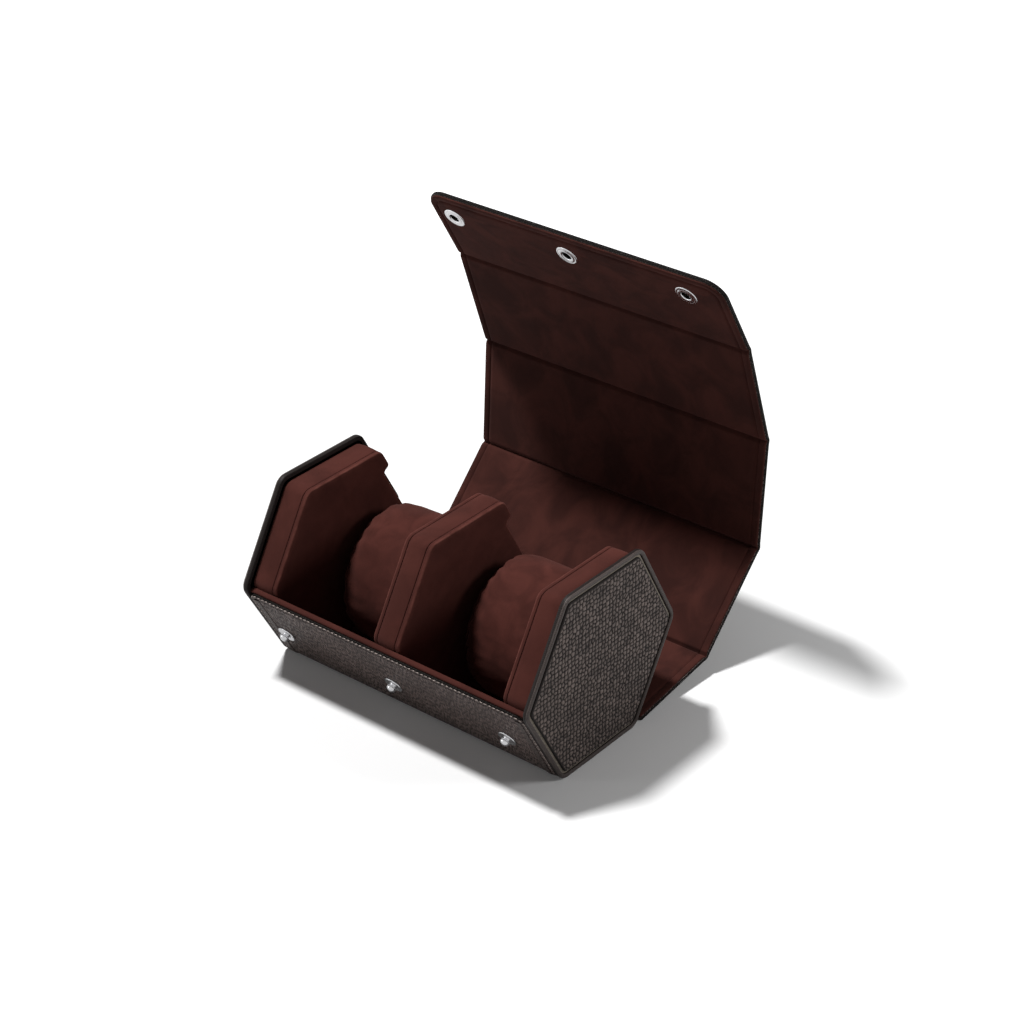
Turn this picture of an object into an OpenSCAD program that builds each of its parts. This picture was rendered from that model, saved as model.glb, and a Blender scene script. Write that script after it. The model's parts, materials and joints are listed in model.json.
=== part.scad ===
// Travel case for two watches: a hexagonal leather roll, shown open.
// It rests on one side of its hexagon. X runs along the case, Y to the back and Z up.
// The origin is the middle of the face that it rests on.
// The lid is five stiff panels on creases. Closed, it wraps round the end plates
// from the back lower edge over the top to the front, where three press snaps hold it.

/* [Case] */
// Side of the hexagon that the end plates have
side = 48; // [44:0.5:56]
// Length of the case over both end plates
case_len = 147; // [141:1:170]
// Radius of the hexagon's corners
corner_r = 6; // [5:0.5:8]

/* [End plates] */
// Thickness of a leather-covered end plate
plate_t = 2.6; // [2.5:0.1:3.2]
// Width of the smooth border round an end plate's outer face
plate_border = 1.8; // [1.4:0.1:2.6]
// Width of the sewn groove between the border and the grained inlay
groove_w = 0.6; // [0.4:0.1:1]
// Thickness of the grained inlay, and depth of its recess
inlay_t = 0.5; // [0.3:0.1:0.6]
// Thickness of the stiffener board inside an end plate
end_board_t = 1.5; // [1:0.1:1.6]
// Width of the turned leather edge round that board
end_turn_w = 2; // [1.5:0.1:4]

/* [Wrap and lid] */
// Thickness of the outer leather
leather_t = 1; // [0.8:0.1:1.3]
// Thickness of a stiffener board in the lid
board_t = 1.2; // [1:0.1:1.6]
// Thickness of the suede lining in the lid
lining_t = 0.6; // [0.5:0.1:1]
// Width of the turned leather edge round a board and its lining
turn_w = 1.5; // [1.2:0.1:3]
// Distance from a crease's axis to the panel beyond it
crease_gap = 1.6; // [1.5:0.1:2.2]
// Running clearance between a crease's round edge and the panel beyond it
crease_clear = 0.3; // [0.2:0.05:0.4]
// Clearance between the closed lid and the end plates
lid_clear = 0.3; // [0.3:0.1:0.8]
// Length of the snap flap beyond its crease
flap_len = 42; // [39:0.5:45]
// Radius of the snap flap's free corners
flap_r = 9; // [5:0.5:11]

/* [Open position] */
// Direction of the lower back panel above level, in degrees
open_lower_back = 8; // [2:1:14]
// Direction of the upper back panel
open_upper_back = 46; // [40:1:52]
// Direction of the top panel
open_top = 88; // [82:1:94]
// Direction of the upper front panel
open_upper_front = 110.5; // [106:0.5:115]
// Direction of the snap flap
open_flap = 122; // [118:1:128]

/* [Tray] */
// Distance from the hexagon's corner to the top edge of the tray's front and back
rim_drop = 2.5; // [2:0.5:6]
// Radius of the front panel's top corners
front_r = 4; // [2:0.5:6]
// Thickness of the leather that shows along the front's top edge
rim_leather = 1.3; // [1.1:0.1:1.6]
// Height of the liner's lip, which laps over the rest of that edge
rim_lap = 0.8; // [0.5:0.1:1]
// Thickness of the suede liner in the tray
liner_t = 1.2; // [0.8:0.1:2]
// Distance of the back wall inside the end plates' edge
back_in = 0.4; // [0.3:0.1:1.5]
// Thickness of the back wall's board
back_board_t = 1.6; // [1.2:0.1:2.4]

/* [Cushions and divider] */
// Thickness of an end cushion with its face board
cushion_t = 12.4; // [10:0.2:14]
// Thickness of the divider with both face boards
divider_t = 13; // [9:0.5:14]
// Thickness of a suede-covered face board
face_t = 2; // [1.5:0.1:2.5]
// Distance from the end plates' edge in to the cushions' edge
cushion_in = 3; // [2.5:0.25:5]
// Radius of the cushions' and divider's corners
cushion_r = 5; // [3.5:0.5:6]
// Distance from the hexagon's back upper corner down to the notch
notch_drop = 12; // [9:0.5:20]
// Depth of the notch along the back
notch_depth = 4.3; // [3:0.1:6]
// Clearance round what is dropped into the tray
drop_gap = 0.1; // [0.05:0.05:0.2]

/* [Pillows] */
// Length of a pillow along the case
pillow_len = 46; // [40:0.5:47]
// Height of a pillow's oval section, measured up the back wall
pillow_h = 62; // [54:0.5:64]
// Depth of a pillow's oval section
pillow_d = 50; // [44:0.5:52]
// Gap between a pillow and what it rests against
pillow_gap = 0.3; // [0.2:0.05:0.5]
// How square a pillow's ends are, where 1 is a plain ellipsoid
pillow_square = 0.42; // [0.3:0.02:0.6]

/* [Snaps] */
// Distance from the left end plate to the middle of the first snap
snap_left = 8.4; // [7:0.2:16]
// Distance from the last snap's middle to the right end plate
snap_right = 17.4; // [7:0.2:18]
// Distance from the flap's crease to the snaps
snap_drop = 29; // [24:0.5:31]
// Radius of a stud's flange
stud_r = 4.2; // [3.8:0.1:5]
// Radius of a socket's flange
socket_r = 5; // [4.6:0.1:6]
// Radius of the domed cap on the outside of the flap
cap_r = 6.2; // [5.6:0.1:7]
// Height of the domed cap
cap_h = 0.9; // [0.7:0.1:1.4]
// Thickness of a stud's flange
stud_flange_t = 0.6; // [0.4:0.1:0.8]
// Thickness of a socket's flange
socket_flange_t = 0.5; // [0.4:0.1:0.8]
// Gap between the two flanges when the snap is closed
snap_gap = 0.2; // [0.2:0.05:0.4]
// Radius of a stud's ball head
ball_r = 2.1; // [1.8:0.1:2.2]
// Height of the ball head's top above the panel
ball_top = 3.4; // [3:0.1:3.6]
// Radius of a stud's neck
neck_r = 1.5; // [1.2:0.1:1.6]
// Radius of a socket's bore
socket_bore_r = 2.7; // [2.6:0.05:2.8]
// Radius of the barrel round that bore
barrel_r = 3.5; // [3.2:0.1:4]
// Radius of a stud's shank
shank_r = 1.3; // [1.1:0.1:1.4]
// Radius of the post sleeve that grips the shank
sleeve_r = 2.2; // [1.9:0.1:2.6]
// Radius of the post's flange behind the board
post_r = 4.2; // [3.5:0.1:5]
// Thickness of the post's flange
post_t = 0.5; // [0.4:0.1:0.7]
// Clearance between the snap parts and their holes
snap_fit = 0.1; // [0.05:0.05:0.15]

/* [Hidden] */
$fn = 64;

leather_colour = [0.17, 0.14, 0.13];
border_colour = [0.12, 0.1, 0.09];
board_colour = [0.55, 0.5, 0.42];
suede_colour = [0.36, 0.17, 0.15];
lining_colour = [0.22, 0.11, 0.1];
metal_colour = [0.8, 0.8, 0.82];

// Directions that the hexagon's sides face, counted from the back upper side
BACK_UPPER = 30;
TOP = 90;
FRONT_UPPER = 150;
FRONT_LOWER = 210;
BOTTOM = 270;
BACK_LOWER = 330;
SIDES = [BACK_UPPER, TOP, FRONT_UPPER, FRONT_LOWER, BOTTOM, BACK_LOWER];

// Distance from the hexagon's middle to its sides, which is also the middle's height
inr = side * sqrt(3) / 2;
mid_h = inr;

// Thicknesses that follow from the layers
lid_t = leather_t + board_t + lining_t;
base_board_t = board_t + lining_t;
tray_in = lid_t + liner_t;
back_liner_in = back_in + back_board_t;
back_face_in = back_liner_in + liner_t;
inner_x = case_len / 2 - plate_t;
cushion_x = inner_x - cushion_t;
divider_x = divider_t / 2;
nose_r = crease_gap - crease_clear;
cut = 1;
far = 4 * side;

// Distances of the closed lid's and flap's middle surfaces from the hexagon's middle
lid_mid = inr + lid_clear + lid_t / 2;
flap_lift = stud_flange_t + snap_gap + socket_flange_t;
flap_mid = inr + flap_lift + lid_t / 2;
base_mid = inr - lid_t / 2;

// Point where a line facing angle a at distance d meets one facing b at distance e
function meet(a, d, b, e) =
    [d * sin(b) - e * sin(a), e * cos(a) - d * cos(b)] / sin(b - a) + [0, mid_h];

// Axes of the five creases when the case is closed, from the back lower edge round
creases = [
    meet(BOTTOM, base_mid, BACK_LOWER, lid_mid),
    meet(BACK_LOWER, lid_mid, BACK_UPPER, lid_mid),
    meet(BACK_UPPER, lid_mid, TOP, lid_mid),
    meet(TOP, lid_mid, FRONT_UPPER, lid_mid),
    meet(FRONT_UPPER, lid_mid, FRONT_LOWER, flap_mid)];
LOWER_BACK = 0;
UPPER_BACK = LOWER_BACK + 1;
TOP_PANEL = UPPER_BACK + 1;
UPPER_FRONT = TOP_PANEL + 1;
FLAP = UPPER_FRONT + 1;
panel_len = [for (i = [0:3]) norm(creases[i + 1] - creases[i])];
open_angle = [open_lower_back, open_upper_back, open_top, open_upper_front, open_flap];

// Place of a crease's axis with the lid open
function open_crease(i) = i == 0 ? creases[0] :
    open_crease(i - 1) + panel_len[i - 1] * [cos(open_angle[i - 1]), sin(open_angle[i - 1])];

// Places of the snaps along the case
snap_pitch = (2 * inner_x - snap_left - snap_right) / 2;
snap_x = [for (i = [0:2]) snap_left - inner_x + i * snap_pitch];

// Height of the snaps down the front, measured along the lower front side
snap_y = (creases[FLAP] - [0, mid_h]) * [cos(FRONT_LOWER + 90), sin(FRONT_LOWER + 90)]
    + snap_drop;

// Extrudes an outline of the hexagon's plane along the case
module along_x(x, length) {
    translate([x, 0, 0])
        rotate([90, 0, 90])
            linear_extrude(length)
                children();
}

// Mirrors a piece of the right-hand end to the left
module at_left() {
    mirror([1, 0, 0])
        children();
}

// Frame of a side of the hexagon: Y runs along the side and Z points into the case
module on_side(a) {
    translate([0, inr * cos(a), mid_h + inr * sin(a)])
        rotate([a + 90, 0, 0])
            children();
}

// Frame of an open lid panel: Y runs away from its crease and Z points to the lining
module on_panel(i) {
    translate([0, open_crease(i)[0], open_crease(i)[1]])
        rotate([open_angle[i], 0, 0])
            children();
}

// Hexagon with each side moved in by its own distance and all corners rounded
module section(insets, r) {
    function corner(i) = meet(SIDES[i], inr - insets[i] - r,
        SIDES[(i + 1) % 6], inr - insets[(i + 1) % 6] - r);
    polygon([for (i = [0:5]) for (k = [i, i + 1])
        corner(i) + r * [cos(SIDES[k % 6]), sin(SIDES[k % 6])]]);
    for (i = [0:5])
        translate(corner(i))
            circle(r);
}

function even(d) = [d, d, d, d, d, d];

// Strip that lies between two distances inside one side of the hexagon
module band(a, from, to) {
    translate([0, mid_h])
        rotate(a)
            translate([inr - to, -far])
                square([to - from, 2 * far]);
}

// Everything that lies further in than a distance from one side
module inside(a, d) {
    translate([0, mid_h])
        rotate(a)
            translate([-far, -far])
                square([far + inr - d, 2 * far]);
}

// Flat shape from y0 to y1 whose corners at y1 are rounded
module tongue(width, y0, y1, r) {
    translate([-width / 2, y0])
        square([width, y1 - y0 - r]);
    translate([r - width / 2, y0])
        square([width - 2 * r, y1 - y0]);
    for (s = [-1, 1])
        translate([s * (width / 2 - r), y1 - r])
            circle(r);
}

module slab(width, y0, y1, z0, z1) {
    translate([-width / 2, y0, z0])
        cube([width, y1 - y0, z1 - z0]);
}

// Rounded edge of a leather panel, rooted in its turned edge. The next panel turns round it.
module crease_edge(width, y) {
    slab(width, y - crease_gap - turn_w, y, -nose_r, nose_r);
    translate([0, y, 0])
        rotate([0, 90, 0])
            cylinder(h = width, r = nose_r, center = true);
}

module at_snaps() {
    for (x = snap_x)
        translate([x, 0, 0])
            children();
}

// Leather cover of an end plate, turned over its board, with a recess for the inlay
module end_plate() {
    color(border_colour)
        difference() {
            along_x(inner_x, plate_t)
                section(even(0), corner_r);
            along_x(case_len / 2 - inlay_t, inlay_t + cut)
                section(even(plate_border), corner_r - plate_border);
            along_x(inner_x - cut, end_board_t + cut)
                section(even(end_turn_w), corner_r - end_turn_w);
        }
}

module end_board() {
    color(board_colour)
        along_x(inner_x, end_board_t)
            section(even(end_turn_w), corner_r - end_turn_w);
}

// Grained leather panel on the outer face, inside the sewn groove
module end_inlay() {
    color(leather_colour)
        along_x(case_len / 2 - inlay_t, inlay_t)
            section(even(plate_border + groove_w), corner_r - plate_border - groove_w);
}

// Outline shared by the end cushions and the divider, with the notch up the back
module cushion_outline() {
    insets = [cushion_in, cushion_in, cushion_in,
        tray_in + drop_gap, tray_in + drop_gap, back_face_in + drop_gap];
    difference() {
        section(insets, cushion_r);
        translate([0, mid_h])
            rotate(BACK_UPPER)
                translate([inr - cushion_in - notch_depth, -far])
                    square([notch_depth + cushion_in + cut, far + side / 2 - notch_drop]);
    }
}

// Suede-covered foam block against the end plate
module end_cushion() {
    color(suede_colour)
        along_x(cushion_x + face_t, cushion_t - face_t)
            cushion_outline();
}

module end_face() {
    color(suede_colour)
        along_x(cushion_x, face_t)
            cushion_outline();
}

module divider_core() {
    color(suede_colour)
        along_x(face_t - divider_x, divider_t - 2 * face_t)
            cushion_outline();
}

module divider_face() {
    color(suede_colour)
        along_x(divider_x - face_t, face_t)
            cushion_outline();
}

// Place of the front's top edge in the frame of the lower front side
rim_y = rim_drop - side / 2;

// Rounded plan of the front panel in that frame
module front_plan(margin) {
    mirror([0, 1])
        tongue(2 * (inner_x - margin), -far, side / 2 - rim_drop - margin, front_r - margin);
}

// Ends of the boards short of the bend between the front and the bottom
bend_end = side / 2 - corner_r;

// Leather of the front and bottom in one piece, bent round the front lower corner
module base_wrap() {
    color(leather_colour)
        difference() {
            union() {
                intersection() {
                    along_x(-inner_x, 2 * inner_x)
                        difference() {
                            section([-far, -far, -far, 0, 0, -far], corner_r);
                            section([-far, -far, -far, lid_t, lid_t, -far], corner_r - lid_t);
                        }
                    on_side(FRONT_LOWER)
                        translate([0, 0, -cut])
                            linear_extrude(far)
                                front_plan(0);
                    slab(case_len, -far, creases[0][0] - crease_gap, -cut, far);
                }
                translate([0, creases[0][0], creases[0][1]])
                    crease_edge(2 * inner_x, 0);
            }
            on_side(FRONT_LOWER) {
                translate([0, 0, leather_t])
                    linear_extrude(base_board_t + cut)
                        board_plan();
                slab(case_len, -side, rim_y + rim_lap + drop_gap,
                    rim_leather - drop_gap, lid_t + cut);
            }
            on_side(BOTTOM)
                slab(2 * (inner_x - turn_w), -bend_end, bend_end,
                    leather_t, lid_t + cut);
            on_side(FRONT_LOWER)
                translate([0, snap_y, -cut])
                    at_snaps()
                        cylinder(h = lid_t, r = sleeve_r + snap_fit);
        }
}

// Plan of the front stiffener, from under the rim to short of the bend
module board_plan() {
    intersection() {
        front_plan(turn_w);
        translate([-far, -side])
            square([2 * far, side + bend_end]);
    }
}

// Front stiffener, bored and recessed for the posts of the snaps
module front_board() {
    color(board_colour)
        on_side(FRONT_LOWER)
            difference() {
                translate([0, 0, leather_t])
                    linear_extrude(base_board_t)
                        board_plan();
                translate([0, snap_y, 0])
                    at_snaps() {
                        cylinder(h = lid_t + cut, r = sleeve_r + snap_fit);
                        translate([0, 0, lid_t - post_t])
                            cylinder(h = post_t + cut, r = post_r + snap_fit);
                    }
            }
}

module bottom_board() {
    color(board_colour)
        on_side(BOTTOM)
            slab(2 * (inner_x - turn_w), -bend_end, bend_end, leather_t, lid_t);
}

// Suede liner behind the front panel and round the bend, with a lip over the board's edge
module front_liner() {
    outer_in = lid_t + drop_gap;
    color(suede_colour)
        intersection() {
            union() {
                along_x(-inner_x, 2 * inner_x)
                    difference() {
                        section([-far, -far, -far, outer_in, outer_in, -far],
                            corner_r - outer_in);
                        section([-far, -far, -far, tray_in, tray_in, -far],
                            corner_r - tray_in);
                    }
                on_side(FRONT_LOWER)
                    slab(2 * inner_x, rim_y, rim_y + rim_lap, rim_leather, tray_in);
            }
            on_side(FRONT_LOWER)
                linear_extrude(far)
                    front_plan(0);
            slab(case_len, -far, -bend_end, 0, far);
        }
}

module bottom_liner() {
    color(suede_colour)
        along_x(-inner_x, 2 * inner_x)
            intersection() {
                band(BOTTOM, lid_t, tray_in);
                inside(BACK_LOWER, back_liner_in);
                translate([-bend_end, 0])
                    square(far);
            }
}

// Piece of the tray's back between two depths, cut off level at its foot
module back_layer(from, to, foot) {
    difference() {
        on_side(BACK_LOWER)
            slab(2 * inner_x, -side, side / 2 - rim_drop, from, to);
        translate([-case_len, -far, foot - far])
            cube([2 * case_len, 2 * far, far]);
    }
}

module back_wall() {
    color(suede_colour)
        back_layer(back_in, back_liner_in, lid_t);
}

module back_liner() {
    color(suede_colour)
        back_layer(back_liner_in, back_face_in, tray_in);
}

// Male snaps: dished flange, neck and ball head outside, shank through the panel.
// The head begins at the closed socket's face.
module snap_studs() {
    color(metal_colour)
        on_side(FRONT_LOWER)
            translate([0, snap_y, 0])
                at_snaps()
                    mirror([0, 0, 1]) {
                        difference() {
                            cylinder(h = stud_flange_t, r = stud_r);
                            translate([0, 0, stud_flange_t / 2])
                                cylinder(h = stud_flange_t, r1 = sleeve_r, r2 = stud_r);
                        }
                        cylinder(h = ball_top - ball_r, r = neck_r);
                        intersection() {
                            translate([0, 0, ball_top - ball_r])
                                sphere(ball_r);
                            translate([0, 0, stud_flange_t + snap_gap])
                                cylinder(h = ball_top, r = stud_r);
                        }
                        translate([0, 0, -lid_t])
                            cylinder(h = lid_t, r = shank_r);
                    }
}

// Posts that grip the shanks from behind the front board
module snap_posts() {
    color(metal_colour)
        on_side(FRONT_LOWER)
            translate([0, snap_y, 0])
                at_snaps()
                    difference() {
                        union() {
                            cylinder(h = lid_t, r = sleeve_r);
                            translate([0, 0, lid_t - post_t])
                                cylinder(h = post_t, r = post_r);
                        }
                        translate([0, 0, -cut])
                            cylinder(h = lid_t + 2 * cut, r = shank_r + snap_fit);
                    }
}

// Soft oval pillow that a watch is strapped round. Its section leans against the back
// wall, its sides crown in the middle and its ends draw in.
pillow_rings = 17;
pillow_sides = 32;
function keep_sign(v, e) = sign(v) * pow(abs(v), e);
function pillow_ring(i) =
    let (t = 180 * (i + 0.5) / pillow_rings - 90,
        x = pillow_len / 2 * keep_sign(sin(t), pillow_square),
        k = pow(cos(t), pillow_square))
    [for (j = [0:pillow_sides - 1]) let (u = 360 * j / pillow_sides)
        [x, k * pillow_d / 2 * cos(u), k * pillow_h / 2 * sin(u)]];

// Middle of the pillows: one gap off the back liner, and one gap above the floor
pillow_lean = BACK_LOWER;
pillow_drop = sqrt(pow(pillow_h / 2 * cos(pillow_lean), 2)
    + pow(pillow_d / 2 * sin(pillow_lean), 2));
pillow_mid = meet(BOTTOM, inr - tray_in - pillow_gap - pillow_drop,
    BACK_LOWER, inr - back_face_in - pillow_gap - pillow_d / 2);

module pillow(x) {
    n = pillow_sides;
    points = [for (i = [0:pillow_rings - 1]) each pillow_ring(i)];
    sides = [for (i = [0:pillow_rings - 2]) for (j = [0:n - 1])
        let (a = i * n + j, b = i * n + (j + 1) % n)
        each [[a, a + n, b], [b, a + n, b + n]]];
    first = [for (j = [1:n - 2]) [0, j, j + 1]];
    last = (pillow_rings - 1) * n;
    end = [for (j = [1:n - 2]) [last, last + j + 1, last + j]];
    color(suede_colour)
        translate([x, pillow_mid[0], pillow_mid[1]])
            rotate([pillow_lean, 0, 0])
                polyhedron(points, concat(sides, first, end));
}

// Leather of a lid panel: a tray for its board and lining, with a round crease edge
module panel_leather(i) {
    length = panel_len[i];
    color(leather_colour)
        on_panel(i)
            difference() {
                union() {
                    slab(case_len, crease_gap, length - crease_gap, -lid_t / 2, lid_t / 2);
                    crease_edge(case_len, length);
                }
                slab(case_len - 2 * turn_w, crease_gap + turn_w, length - crease_gap - turn_w,
                    leather_t - lid_t / 2, lid_t);
            }
}

// Layer inside a lid panel, between two depths counted from the outer face
module panel_layer(i, from, to) {
    on_panel(i)
        slab(case_len - 2 * turn_w, crease_gap + turn_w, panel_len[i] - crease_gap - turn_w,
            from - lid_t / 2, to - lid_t / 2);
}

module panel_board(i) {
    color(board_colour)
        panel_layer(i, leather_t, leather_t + board_t);
}

module panel_lining(i) {
    color(lining_colour)
        panel_layer(i, leather_t + board_t, lid_t);
}

module socket_holes() {
    translate([0, snap_drop, -lid_t])
        at_snaps()
            cylinder(h = 2 * lid_t, r = barrel_r + snap_fit);
}

module flap_plan(margin) {
    tongue(case_len - 2 * margin, crease_gap + margin, flap_len - margin, flap_r - margin);
}

module flap_leather() {
    color(leather_colour)
        on_panel(FLAP)
            difference() {
                translate([0, 0, -lid_t / 2])
                    linear_extrude(lid_t)
                        flap_plan(0);
                translate([0, 0, leather_t - lid_t / 2])
                    linear_extrude(lid_t)
                        flap_plan(turn_w);
                socket_holes();
            }
}

module flap_layer(from, to) {
    on_panel(FLAP)
        difference() {
            translate([0, 0, from - lid_t / 2])
                linear_extrude(to - from)
                    flap_plan(turn_w);
            socket_holes();
        }
}

module flap_board() {
    color(board_colour)
        flap_layer(leather_t, leather_t + board_t);
}

module flap_lining() {
    color(lining_colour)
        flap_layer(leather_t + board_t, lid_t);
}

// Female snaps: a flange on the lining and a barrel through the flap
module snap_sockets() {
    color(metal_colour)
        on_panel(FLAP)
            translate([0, snap_drop, 0])
                at_snaps()
                    difference() {
                        union() {
                            translate([0, 0, -lid_t / 2])
                                cylinder(h = lid_t, r = barrel_r);
                            translate([0, 0, lid_t / 2])
                                cylinder(h = socket_flange_t, r = socket_r);
                        }
                        translate([0, 0, -lid_t])
                            cylinder(h = 3 * lid_t, r = socket_bore_r);
                    }
}

// Domed caps that close the barrels on the outside of the flap
module snap_caps() {
    color(metal_colour)
        on_panel(FLAP)
            translate([0, snap_drop, -lid_t / 2])
                at_snaps()
                    mirror([0, 0, 1]) {
                        cylinder(h = cap_h / 2, r = cap_r);
                        translate([0, 0, cap_h / 2])
                            cylinder(h = cap_h / 2, r1 = cap_r, r2 = cap_r - cap_h);
                    }
}

pillow_x = (cushion_x + divider_x) / 2;

at_left() end_plate();  // end_plate_left
end_plate();  // end_plate_right
at_left() end_board();  // end_board_left
end_board();  // end_board_right
at_left() end_inlay();  // end_inlay_left
end_inlay();  // end_inlay_right
at_left() end_cushion();  // end_cushion_left
end_cushion();  // end_cushion_right
at_left() end_face();  // end_face_left
end_face();  // end_face_right
divider_core();
at_left() divider_face();  // divider_face_left
divider_face();  // divider_face_right
base_wrap();
front_board();
bottom_board();
front_liner();
bottom_liner();
back_wall();
back_liner();
snap_studs();
snap_posts();
pillow(-pillow_x);  // pillow_left
pillow(pillow_x);  // pillow_right
panel_leather(LOWER_BACK);  // lower_back_leather
panel_board(LOWER_BACK);  // lower_back_board
panel_lining(LOWER_BACK);  // lower_back_lining
panel_leather(UPPER_BACK);  // upper_back_leather
panel_board(UPPER_BACK);  // upper_back_board
panel_lining(UPPER_BACK);  // upper_back_lining
panel_leather(TOP_PANEL);  // top_leather
panel_board(TOP_PANEL);  // top_board
panel_lining(TOP_PANEL);  // top_lining
panel_leather(UPPER_FRONT);  // upper_front_leather
panel_board(UPPER_FRONT);  // upper_front_board
panel_lining(UPPER_FRONT);  // upper_front_lining
flap_leather();
flap_board();
flap_lining();
snap_sockets();
snap_caps();
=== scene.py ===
import json
import math
import random

import bmesh
import bpy
from mathutils import Matrix, Vector, noise
from mathutils.bvhtree import BVHTree
from mathutils.geometry import delaunay_2d_cdt


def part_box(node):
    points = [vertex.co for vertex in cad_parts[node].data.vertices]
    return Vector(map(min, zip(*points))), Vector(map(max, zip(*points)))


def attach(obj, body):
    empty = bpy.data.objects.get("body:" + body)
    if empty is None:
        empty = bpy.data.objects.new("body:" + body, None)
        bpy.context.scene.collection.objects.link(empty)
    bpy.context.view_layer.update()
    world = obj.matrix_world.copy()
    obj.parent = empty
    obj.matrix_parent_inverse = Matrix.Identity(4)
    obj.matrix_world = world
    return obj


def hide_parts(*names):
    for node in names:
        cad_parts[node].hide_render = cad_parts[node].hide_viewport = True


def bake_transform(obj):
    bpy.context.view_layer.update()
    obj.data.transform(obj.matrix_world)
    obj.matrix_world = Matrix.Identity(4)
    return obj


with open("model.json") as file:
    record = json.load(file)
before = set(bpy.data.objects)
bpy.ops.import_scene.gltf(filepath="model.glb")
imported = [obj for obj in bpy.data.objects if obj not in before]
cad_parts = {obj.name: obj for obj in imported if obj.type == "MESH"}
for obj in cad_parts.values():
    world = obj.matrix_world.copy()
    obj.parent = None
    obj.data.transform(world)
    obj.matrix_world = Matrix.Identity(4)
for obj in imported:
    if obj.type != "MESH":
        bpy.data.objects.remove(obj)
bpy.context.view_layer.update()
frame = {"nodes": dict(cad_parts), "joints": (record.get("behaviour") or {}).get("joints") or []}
scene = bpy.context.scene

# Camera, lamps and table. The case stands on a white table. The main lamp is high up on the
# left, so that the shadow falls to the right. A small lamp low on the right lights the near
# end plate, and a wider one low on the left lights the front.
eye_turn = math.radians(38.42)
eye_height = math.radians(30.33)
eye_roll = math.radians(0.49)
eye_distance = 0.9955
eye_target = Vector((0.01659, 0.0144, 0.0824))


def add_object(name, data):
    """New object in the scene around a mesh, a lamp or the like."""
    made = bpy.data.objects.new(name, data)
    scene.collection.objects.link(made)
    return made


eye = bpy.data.cameras.new("camera")
eye.sensor_width = 36
eye.lens = 88.92
camera = add_object("camera", eye)
back = Vector((math.sin(eye_turn) * math.cos(eye_height),
               -math.cos(eye_turn) * math.cos(eye_height), math.sin(eye_height)))
camera.location = eye_target + back * eye_distance
level = (-back).to_track_quat("-Z", "Y").to_matrix()
camera.rotation_euler = (level @ Matrix.Rotation(eye_roll, 3, "Z")).to_euler()
scene.camera = camera
scene.view_settings.view_transform = "Standard"


def lamp(name, place, aim, size, power):
    light = bpy.data.lights.new(name, "AREA")
    light.shape = "DISK"
    light.size = size
    light.energy = power
    holder = add_object(name, light)
    holder.location = place
    holder.rotation_euler = (Vector(aim) - Vector(place)).to_track_quat("-Z", "Y").to_euler()


lamp("main_lamp", (-0.488, -0.208, 1.504), (0, 0.04, 0), 0.2, 25)
lamp("right_lamp", (0.5, 0.2, 0.36), (0.07, 0, 0.04), 0.16, 0.85)
lamp("left_lamp", (-1.1, -1.2, 0.3), (0, 0, 0.05), 0.4, 2.5)


def feed(tree, socket, value):
    """Gives a socket a plain value, another node's output, or a node's first output."""
    if isinstance(value, bpy.types.Node):
        value = value.outputs[0]
    if isinstance(value, bpy.types.NodeSocket):
        tree.links.new(value, socket)
    else:
        socket.default_value = value


def put(tree, kind, *plugs, **values):
    """New node, with values by the name of a property or socket, or in the sockets' order."""
    node = tree.nodes.new(kind)
    for key, value in values.items():
        if hasattr(node, key):
            setattr(node, key, value)
        else:
            feed(tree, node.inputs[key.replace("_", " ")], value)
    for socket, value in zip(node.inputs, plugs):
        feed(tree, socket, value)
    return node


def math_node(tree, operation, *terms):
    return put(tree, "ShaderNodeMath", *terms, operation=operation)


def ramp(tree, source, low, high, smooth=True, start=0, end=1):
    """Map of a value from low..high to start..end, held inside that range."""
    return put(tree, "ShaderNodeMapRange", Value=source, From_Min=low, From_Max=high,
               To_Min=start, To_Max=end, interpolation_type="SMOOTHSTEP" if smooth else "LINEAR")


def mix_colours(tree, share, low, high):
    """Colour between two, each a plain colour or another node's output."""
    node = put(tree, "ShaderNodeMix", share, data_type="RGBA")
    for slot, colour in ((6, low), (7, high)):
        feed(tree, node.inputs[slot], (*colour, 1) if isinstance(colour, tuple) else colour)
    return node.outputs[2]


def times(tree, first, second):
    return math_node(tree, "MULTIPLY", first, second)


# The room is white where the camera sees it and partly so in mirrors, and dim otherwise.
room_strength = 0.045
mirrored_share = 0.6
world = bpy.data.worlds.new("studio")
scene.world = world
world.use_nodes = True
tree = world.node_tree
tree.nodes.clear()
ray = put(tree, "ShaderNodeLightPath").outputs
straight = math_node(tree, "MAXIMUM", ray["Is Camera Ray"], ray["Is Transmission Ray"])
mirrored = times(tree, ray["Is Glossy Ray"], mirrored_share)
room = put(tree, "ShaderNodeBackground", Color=(1, 1, 1, 1), Strength=room_strength)
white = put(tree, "ShaderNodeBackground", Color=(1, 1, 1, 1), Strength=1)
choose = put(tree, "ShaderNodeMixShader", math_node(tree, "MAXIMUM", straight, mirrored),
             room, white)
put(tree, "ShaderNodeOutputWorld", Surface=choose)


def new_material(name):
    """Empty material, its node tree, and the coordinates that its patterns lie on."""
    material = bpy.data.materials.new(name)
    material.use_nodes = True
    tree = material.node_tree
    tree.nodes.clear()
    return material, tree, put(tree, "ShaderNodeTexCoord").outputs


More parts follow.
